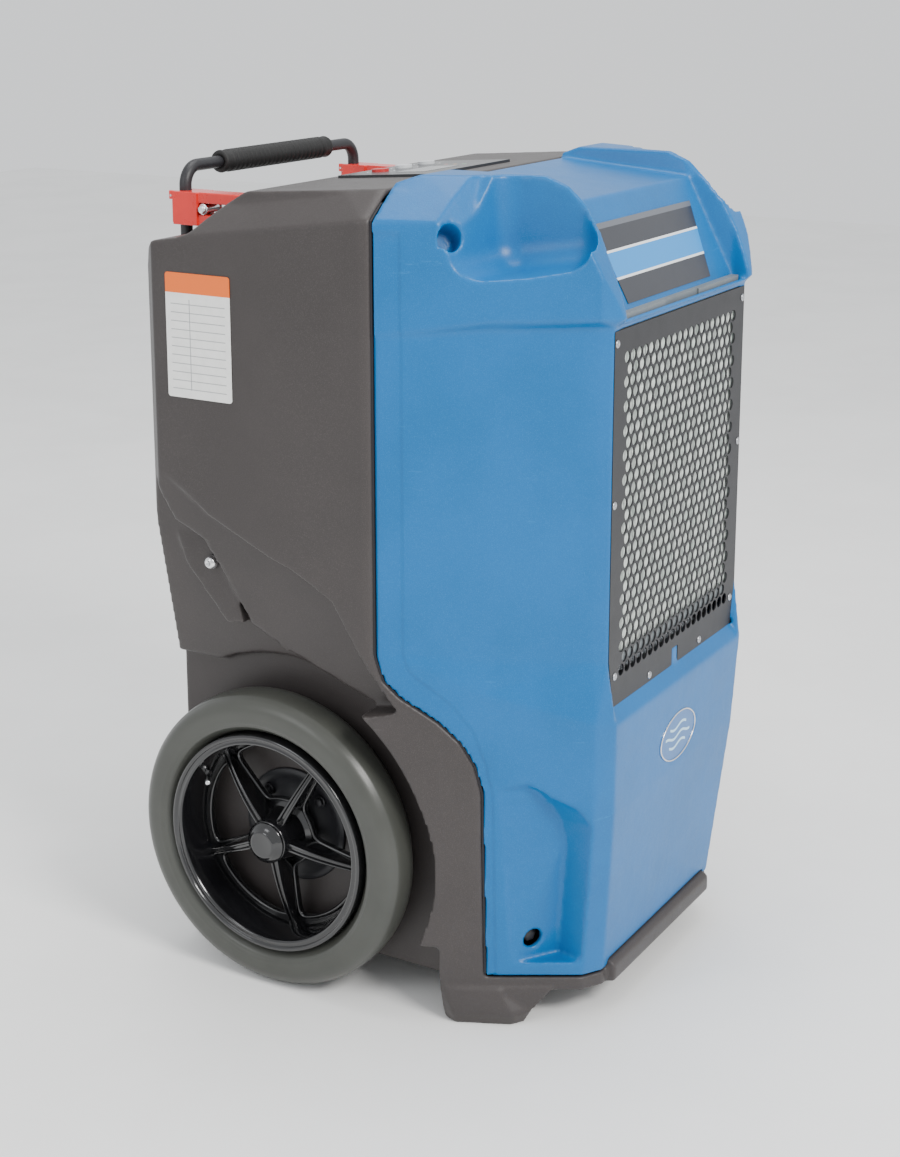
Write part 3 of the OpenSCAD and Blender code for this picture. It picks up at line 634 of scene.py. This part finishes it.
def press_side_step(piece):
    """Lowers the strip beside the joint a little, which leaves a fine step line along the blue side."""
    mesh = piece.data
    co = points_of(mesh)
    outward = normals_of(mesh)[:, 0] * np.sign(co[:, 0])
    width = 0.011 + 0.016 * ease(co[:, 2], 0.27, 0.37)
    strip = 1.0 - ease(distance_to_seam(co) - width, -0.0012, 0.0012)
    depth = 0.0013 * strip * (outward > 0.3) * (co[:, 2] < 0.80)
    set_points(mesh, co - normals_of(mesh) * depth[:, None])


def add_housings():
    front = moulded("front_housing", 0.0022, 6)
    press_side_step(front)
    thin_out(front, 0.35)
    rear = moulded("rear_housing", 0.0022, 6)
    thin_out(rear, 0.30)


# ---------------------------------------------------------------- wheels


SPOKES = 5
WEB = (-0.019, -0.015)   # back and front of the rim's web, along the axle from the middle of the tyre
BARREL_R = 0.101         # inside of the rim's barrel


def soft_max(values, blend):
    """Largest of several values, with the meeting lines rounded off over the blend length."""
    top = max(values)
    return top + blend * math.log(sum(math.exp((v - top) / blend) for v in values))


def reach_of(inside, start, direction, limit):
    """How far a ray goes before it leaves a region."""
    near, far = 0.0, limit
    for _ in range(24):
        middle = (near + far) / 2
        if inside(start[0] + direction[0] * middle, start[1] + direction[1] * middle):
            near = middle
        else:
            far = middle
    return near


def rim_web(rays=96):
    """One fifth of the rim's web around its window, as (radial, tangential, along) points and faces."""
    half = math.pi / SPOKES
    start = (0.070, 0.0)

    def to_edge(x, y):
        return abs(y) * math.cos(half) - x * math.sin(half)

    def in_sector(x, y):
        return to_edge(x, y) < 0 and math.hypot(x, y) < BARREL_R + 0.001

    def in_window(x, y):
        r = math.hypot(x, y)
        return soft_max((to_edge(x, y) + 0.0070, r - 0.0940, 0.037 - r), 0.0035) < 0

    points = []
    for k in range(rays):
        a = 2 * math.pi * k / rays
        direction = (math.cos(a), math.sin(a))
        edge = reach_of(in_window, start, direction, 0.06)
        rim = max(reach_of(in_sector, start, direction, 0.12), edge + 0.0052)
        back, front = WEB
        for reach, along in ((rim, back), (rim, front), (edge + 0.0050, front),
                             (edge + 0.0034, front + 0.0024), (edge + 0.0014, front + 0.0026),
                             (edge, front + 0.0010), (edge, back)):
            points.append((start[0] + direction[0] * reach, start[1] + direction[1] * reach, along))
    return points, strip_faces(rays, 7, True, True)


def rim_spoke():
    """A spoke with two ribs, high at the hub and low at the barrel, as points and faces."""
    steps = 18
    points = []
    for k in range(steps):
        t = k / (steps - 1)
        radius = 0.012 + (BARREL_R + 0.001 - 0.012) * t
        top = 0.012 - 0.019 * t + 0.004 * math.sin(math.pi * t)
        wide = 1.15 - 0.40 * t + 0.9 * max(0.0, t - 0.88) / 0.12 * 0.5
        section = [(0.0056, WEB[1] - 0.001), (0.0044, top - 0.0008), (0.0036, top), (0.0022, top),
                   (0.0014, top - 0.0030)]
        points += [(radius, -across * wide, along) for across, along in section]
        points += [(radius, across * wide, along) for across, along in reversed(section)]
    around = 10
    last = steps * around
    ends = [tuple(range(around)), tuple(range(last - 1, last - around - 1, -1))]
    return points, strip_faces(steps, around, False, True) + ends


def placed_round(part, center, sign, turn):
    """Puts (radial, tangential, along) points about the axle at an angle."""
    points, faces = part
    c, s = math.cos(turn), math.sin(turn)
    return [(center[0] + sign * along, center[1] + radial * c - side * s, center[2] + radial * s + side * c)
            for radial, side, along in points], faces


def tyre_profile(half, outer, inner):
    """Fat rounded section with two fine rings moulded beside the rim."""
    middle, rise = (outer + inner) / 2, (outer - inner) / 2
    profile = []
    steps = 72
    for k in range(steps):
        a = 2 * math.pi * k / steps
        along = half * math.copysign(abs(math.sin(a)) ** 0.84, math.sin(a))
        radius = middle + rise * math.copysign(abs(math.cos(a)) ** 0.80, math.cos(a))
        ridges = sum(math.exp(-((radius - ring) / 0.0012) ** 2) for ring in (0.1265, 0.1315))
        if abs(along) > 0.6 * half:
            along -= math.copysign(0.0008 * (1 - min(1.0, ridges)), along)
        profile.append((along, radius))
    return profile


def add_wheel(side):
    low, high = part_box(f"tyre_{side}")
    sign = 1 if side == "right" else -1
    center = [(a + b) / 2 for a, b in zip(low, high)]
    half = (high[0] - low[0]) / 2
    outer = (high[2] - low[2]) / 2

    def revolved(profile, segments=120, closed=True):
        mirrored = [(sign * along, radius) for along, radius in profile]
        return turned(mirrored, center, (1, 0, 0), segments, closed)

    stand_in(f"tyre_{side}", joined("tyre", [revolved(tyre_profile(half, outer, 0.1175), 160)]))
    barrel = [(-0.022, 0.1178), (0.0225, 0.1178), (0.0245, 0.1170), (0.0252, 0.1150), (0.0246, 0.1130),
              (0.0228, 0.1122), (0.0232, 0.1098), (0.0238, 0.1085), (0.0230, 0.1068), (0.0205, 0.1058),
              (0.0100, 0.1035), (-0.0060, 0.1020), (-0.0130, BARREL_R), (-0.0190, BARREL_R - 0.001),
              (-0.0220, BARREL_R + 0.002)]
    hub = [(-0.022, 0.0125), (-0.022, 0.026), (-0.016, 0.036), (-0.0135, 0.034), (-0.010, 0.0290),
           (0.000, 0.0262), (0.010, 0.0238), (0.0175, 0.0222), (0.0185, 0.0205), (0.0185, 0.0125)]
    parts = [revolved(barrel), revolved(hub, 72)]
    web, spoke = rim_web(), rim_spoke()
    for k in range(SPOKES):
        turn = 2 * math.pi * (k + 0.15) / SPOKES
        parts.append(placed_round(web, center, sign, turn))
        parts.append(placed_round(spoke, center, sign, turn + math.pi / SPOKES))
    rim = stand_in(f"rim_{side}", joined("rim", parts))
    soft_edges(rim, 0.0005)
    cap = [(0.0188, 0.0), (0.0188, 0.0215), (0.0198, 0.0222), (0.0215, 0.0215), (0.0245, 0.0172),
           (0.0262, 0.0150), (0.0272, 0.0142), (0.0278, 0.0128), (0.0274, 0.0112), (0.0272, 0.0)]
    stand_in(f"hub_cap_{side}", joined("hub_cap", [revolved(cap, 64, False)]))
    turn = 2 * math.pi * 0.45 / SPOKES
    out = Vector((0.0, math.cos(turn), math.sin(turn)))
    root = Vector(center) + out * 0.1015 + Vector((sign * 0.002, 0, 0))
    stem = [(0.0, 0.0), (0.0, 0.0040), (0.003, 0.0036), (0.005, 0.0026), (0.010, 0.0024), (0.0105, 0.0032),
            (0.018, 0.0032), (0.0195, 0.0022), (0.0195, 0.0)]
    lean = Vector((sign * 0.75, 0, 0)) - out * 0.66
    valve = joined("valve", [turned(stem, root, lean, 20, False)])
    beside(f"rim_{side}", f"valve_{side}", valve, "bolt_steel")


def add_axle_plates():
    """Round bearing plates on the wheel-well walls, with raised rings like a pressed flange."""
    low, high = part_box("axle_brackets")
    middle = [(a + b) / 2 for a, b in zip(low, high)]
    radius = (high[2] - low[2]) / 2
    thick = 0.003
    profile = [(0.0, 0.0082), (0.0, radius), (thick * 0.7, radius - 0.0002), (thick, radius - 0.0012),
               (thick, radius - 0.008), (thick * 0.4, radius - 0.010), (thick * 0.4, 0.034), (thick, 0.032),
               (thick, 0.0082)]
    plates = []
    for sign in (-1, 1):
        face = (sign * (high[0] - thick), middle[1], middle[2])
        plates.append(turned([(sign * along, r) for along, r in profile], face, (1, 0, 0), 96))
    stand_in("axle_brackets", joined("axle_brackets", plates), "flanges", "black_steel")


# ---------------------------------------------------------------- front


def add_filter_media():
    """Pleated cloth between the rails of the filter frame."""
    low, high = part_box("filter_media")
    folds = 2 * round((high[0] - low[0]) / 0.0095)
    levels = 40
    rng = np.random.default_rng(4)
    sway = np.cumsum(rng.normal(0, 0.00012, (levels, folds + 1)), axis=0)
    thickness = 0.0014
    depth = high[1] - low[1] - thickness
    front = []
    for row in range(levels):
        for k in range(folds + 1):
            x = low[0] + (high[0] - low[0]) * k / folds
            x += float(np.clip(sway[row, k], -0.0015, 0.0015)) * (0 < k < folds)
            front.append((x, low[1] + depth * (k % 2), low[2] + (high[2] - low[2]) * row / (levels - 1)))
    mesh = mesh_of("filter_media", front, strip_faces(levels, folds + 1, False, False))
    piece = stand_in("filter_media", mesh, "pleats")
    solid = piece.modifiers.new("thickness", "SOLIDIFY")
    solid.thickness = thickness
    solid.offset = 0.0
    apply_modifiers(piece)
    points = points_of(piece.data)
    points[:, 1] = np.clip(points[:, 1], low[1], high[1])
    set_points(piece.data, points)


def add_badge_rim():
    """Thin silver bead around the badge."""
    low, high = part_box("badge")
    center = [(a + b) / 2 for a, b in zip(low, high)]
    half_w, half_h = (high[0] - low[0]) / 2, (high[2] - low[2]) / 2
    lean = (high[1] - low[1]) * 0.2
    path = []
    steps = 96
    for k in range(steps):
        a = 2 * math.pi * k / steps
        x = half_w * 0.97 * math.copysign(abs(math.cos(a)) ** 0.95, math.cos(a))
        z = half_h * 0.97 * math.sin(a) * (1 - 0.06 * math.cos(2 * a))
        path.append((x, low[1] + lean - z * 0.04, center[2] + z))
    beside("badge", "badge_rim", joined("badge_rim", [tube(path, 0.0009, 10, True)]), "bolt_steel")


# ---------------------------------------------------------------- fasteners


def hex_head(center, axis, radius, height, washer):
    """Hexagon bolt head with a turned chamfer, on a round washer."""
    axis, u, v = basis(axis)
    center = Vector(center)
    rings = [(0.0, 0.0, 1.0), (0.0, 1.0, 1.0), (height * 0.78, 1.0, 1.0), (height, 0.86, 0.0),
             (height, 0.0, 0.0)]
    points = []
    sides = 48
    for along, scale, hexagon in rings:
        for k in range(sides):
            a = 2 * math.pi * k / sides
            flat = radius * 0.866 / math.cos((a + math.pi / 6) % (math.pi / 3) - math.pi / 6)
            reach = scale * (flat if hexagon else radius * 0.88)
            points.append(center + axis * (washer + along) + (u * math.cos(a) + v * math.sin(a)) * reach)
    head = points, strip_faces(len(rings), sides, False, True)
    edge = radius * 1.22
    disc = [(0.0, 0.0), (0.0, edge), (washer * 0.6, edge), (washer, edge * 0.95), (washer, 0.0)]
    return [head, turned(disc, center, axis, 40, False)]


def button_head(center, axis, radius, height):
    """Domed head with a round socket."""
    profile = [(0.0, 0.0), (0.0, radius), (height * 0.35, radius * 0.98), (height * 0.75, radius * 0.82),
               (height, radius * 0.52), (height, radius * 0.36), (height * 0.45, radius * 0.32),
               (height * 0.45, 0.0)]
    return turned(profile, center, axis, 40, False)


BRACKET_BOLT_RING = 0.046    # radius of the circle of bolts about the axle
BRACKET_BOLT_HEIGHT = 0.005  # head and washer together
SIDE_BOLT_HEIGHT = 0.009
SCREW_PLACES = ((0.151, 0.700), (0.151, 0.545), (0.143, 0.372), (0.062, 0.348))  # x and z, both sides
FRONT_BOLT = Vector((0.174, -0.179, 0.090))  # mouth of the right front bolt's recess
FRONT_BOLT_TURN = math.radians(36)
FRONT_BOLT_DEPTH = 0.019


def add_bracket_bolts():
    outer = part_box("bracket_bolts")[1][0]
    wheel = [(a + b) / 2 for a, b in zip(*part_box("tyre_right"))]
    step = BRACKET_BOLT_RING * math.sqrt(0.5)
    heads = []
    for sign in (-1, 1):
        for dy in (-step, step):
            for dz in (-step, step):
                place = (sign * (outer - BRACKET_BOLT_HEIGHT), wheel[1] + dy, wheel[2] + dz)
                heads += hex_head(place, (sign, 0, 0), 0.0053, 0.0038, 0.0012)
    stand_in("bracket_bolts", joined("bracket_bolts", heads))


def add_side_bolts():
    low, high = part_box("side_bolts")
    middle = [(a + b) / 2 for a, b in zip(low, high)]
    studs = []
    for sign in (-1, 1):
        seat = (sign * (high[0] - SIDE_BOLT_HEIGHT), middle[1], middle[2])
        shank = [(-0.02, 0.0), (-0.02, 0.004), (0.0, 0.004), (0.0, 0.0)]
        studs.append(button_head(seat, (sign, 0, 0), 0.0075, SIDE_BOLT_HEIGHT))
        studs.append(turned(shank, seat, (sign, 0, 0), 24, False))
    stand_in("side_bolts", joined("side_bolts", studs))


def add_grille_screws():
    height = 0.0016
    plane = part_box("grille_screws")[0][1] + height
    screws = []
    for x, z in SCREW_PLACES:
        for sign in (-1, 1):
            screws.append(button_head((sign * x, plane, z), (0, -1, 0), 0.004, height))
    stand_in("grille_screws", joined("grille_screws", screws))


def add_front_bolts():
    bolts = []
    for sign in (-1, 1):
        out = Vector((sign * math.sin(FRONT_BOLT_TURN), -math.cos(FRONT_BOLT_TURN), 0.0))
        face = Vector((sign * FRONT_BOLT.x, FRONT_BOLT.y, FRONT_BOLT.z)) - out * FRONT_BOLT_DEPTH
        bolts += hex_head(face, out, 0.0075, 0.005, 0.003)
    stand_in("front_bolts", joined("front_bolts", bolts))


# ---------------------------------------------------------------- fan, coils and lines


def add_fan():
    """Nine cambered, twisted blades on a round-nosed hub."""
    low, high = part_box("fan_wheel")
    center = [(a + b) / 2 for a, b in zip(low, high)]
    tip = (high[2] - low[2]) / 2
    blades, across, chords = 9, 9, 7
    points, faces = [], []
    for blade in range(blades):
        first = len(points)
        turn = 2 * math.pi * blade / blades
        for i in range(across):
            reach = i / (across - 1)
            radius = 0.0325 + (tip - 0.0340) * reach
            chord = 0.044 + 0.020 * reach
            pitch = math.radians(42 - 17 * reach)
            for j in range(chords):
                t = j / (chords - 1) - 0.5
                swing = turn + (chord * t * math.cos(pitch) + 0.018 * reach * reach) / radius
                depth = chord * t * math.sin(pitch) + 0.004 * (1 - 4 * t * t)
                points.append((center[0] + radius * math.cos(swing), center[1] + depth,
                               center[2] + radius * math.sin(swing)))
        faces += strip_faces(across, chords, False, False, first)
    blades_mesh = mesh_of("fan_blades", points, faces)
    piece = stand_in("fan_wheel", blades_mesh, "blades")
    solid = piece.modifiers.new("thickness", "SOLIDIFY")
    solid.thickness = 0.0022
    solid.offset = 0.0
    apply_modifiers(piece)
    front = low[1] - center[1]
    back = high[1] - center[1] - 0.001
    hub = [(back, 0.0065), (back, 0.033), (back - 0.002, 0.035), (front + 0.014, 0.035),
           (front + 0.006, 0.032), (front + 0.002, 0.026), (front, 0.016), (front, 0.0065)]
    hub_mesh = joined("fan_hub", [turned(hub, center, (0, 1, 0), 64)])
    beside("fan_wheel", "fan_hub", hub_mesh, slot_of_node("fan_wheel"))


def add_coil(node):
    """Fin pack with copper hairpin bends at both ends."""
    low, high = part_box(node)
    half = 0.125
    pitch = 0.0026
    fins = []
    for k in range(int(2 * half / pitch) + 1):
        x = -half + k * pitch
        fins.append(block((x, low[1] + 0.001, low[2]), (x + 0.0004, high[1] - 0.001, high[2])))
    for sign in (-1, 1):
        plate = sign * half
        inner = plate - sign * 0.0015
        fins.append(block((min(plate, inner), low[1], low[2]), (max(plate, inner), high[1], high[2])))
    stand_in(node, joined(node, fins), "fins")
    bends = []
    middle = (low[1] + high[1]) / 2
    for sign in (-1, 1):
        z = low[2] + 0.030
        while z < high[2] - 0.020:
            path = [(sign * (half + 0.011 * math.sin(a)), middle - 0.011 * math.cos(a), z)
                    for a in np.linspace(0, math.pi, 13)]
            bends.append(tube(path, 0.004, 14))
            z += 0.045
    beside(node, f"{node}_bends", joined(f"{node}_bends", bends), "copper")


def add_lines():
    """Smooth drain hose and refrigerant lines along the routes of their CAD stand-ins."""
    hose = [(-0.104, -0.142, 0.092), (-0.104, -0.122, 0.092), (-0.132, -0.112, 0.092),
            (-0.132, -0.060, 0.092), (-0.132, 0.150, 0.092), (-0.130, 0.205, 0.092),
            (-0.092, 0.196, 0.092), (-0.092, 0.220, 0.092)]
    stand_in("drain_hose", joined("drain_hose", [tube(rounded(hose), 0.006)]), "run")
    routes = (((0.118, 0.040, 0.462), (0.118, 0.040, 0.480), (0.160, -0.020, 0.480), (0.160, -0.075, 0.480)),
              ((0.118, 0.040, 0.328), (0.118, 0.040, 0.318), (0.060, 0.020, 0.318), (0.040, 0.000, 0.282)),
              ((-0.040, -0.010, 0.282), (-0.060, -0.010, 0.330), (-0.160, -0.040, 0.360),
               (-0.160, -0.075, 0.360)))
    stand_in("refrigerant_lines", joined("lines", [tube(rounded(route), 0.0045) for route in routes]), "runs")


# ---------------------------------------------------------------- handle


def add_grip():
    """Ribbed rubber sleeve on the crossbar."""
    low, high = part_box("handle_grip")
    center = [(a + b) / 2 for a, b in zip(low, high)]
    half, outer = (high[0] - low[0]) / 2, (high[2] - low[2]) / 2
    bore = 0.0064
    profile = [(-half, bore), (-half, outer - 0.0025), (-half + 0.001, outer - 0.0007),
               (-half + 0.003, outer)]
    steps = 160
    for k in range(steps + 1):
        along = -half + 0.012 + (2 * half - 0.024) * k / steps
        groove = 0.0011 * max(0.0, math.cos(2 * math.pi * along / 0.0080)) ** 3
        profile.append((along, outer - groove))
    profile += [(half - 0.003, outer), (half - 0.001, outer - 0.0007), (half, outer - 0.0025), (half, bore)]
    stand_in("handle_grip", joined("grip", [turned(profile, center, (1, 0, 0), 48)]), "sleeve")


def add_clamps():
    """Red clamps with the bright heads of their cross bolts, and their levers."""
    for side in ("left", "right"):
        clamp = moulded(f"clamp_{side}", 0.0007, 3)
        thin_out(clamp, 0.35)
        low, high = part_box(f"clamp_{side}")
        bolt_y, bolt_z = 0.212, (low[2] + high[2]) / 2
        parts = []
        for end in (low[0] + 0.0030, high[0] - 0.0030):
            out = 1 if end > (low[0] + high[0]) / 2 else -1
            parts += hex_head((end, bolt_y, bolt_z), (out, 0, 0), 0.0048, 0.0026, 0.0008)
        beside(f"clamp_{side}", f"clamp_bolt_{side}", joined("clamp_bolt", parts), "bolt_steel")
        lever = moulded(f"clamp_lever_{side}", 0.0004, 3)
        thin_out(lever, 0.4)


# ---------------------------------------------------------------- the machine


# Nodes shown as their CAD shape, with the width of the bevel on their edges
KEPT = {"seam_seal": 0.0003, "inlet_grille": 0.0003, "filter_frame": 0.0008, "nameplate": 0.0003,
        "badge": 0.0003, "side_label": 0.0001, "control_panel": 0.0008, "display_window": 0.0004,
        "button_power": 0.0012, "button_mode": 0.0012, "button_drain": 0.0012, "exhaust_collar": 0.0010,
        "exhaust_guard": 0.0006, "fan_shroud": 0.0008, "fan_motor": 0.0020, "heat_exchanger": 0.0006,
        "coil_frame": 0.0006, "drain_pan": 0.0010, "condensate_pump": 0.0015, "drain_fitting": 0.0005,
        "compressor": 0.0040, "compressor_mounts": 0.0010, "filter_drier": 0.0020,
        "electrics_box": 0.0005, "run_capacitor": 0.0010, "inner_frame": 0.0006, "cord_inlet": 0.0008,
        "axle": 0.0008, "wheel_bushes_left": 0.0005, "wheel_bushes_right": 0.0005, "handle_rod": 0.0008,
        "rod_guides": 0.0010, "clamp_pins": 0.0003}

add_camera()
add_studio()
add_housings()
for side in ("left", "right"):
    add_wheel(side)
add_axle_plates()
add_filter_media()
add_badge_rim()
add_bracket_bolts()
add_side_bolts()
add_grille_screws()
add_front_bolts()
add_fan()
for node in ("evaporator", "condenser"):
    add_coil(node)
add_lines()
add_grip()
add_clamps()
for node, bevel in KEPT.items():
    keep_cad(node, bevel)
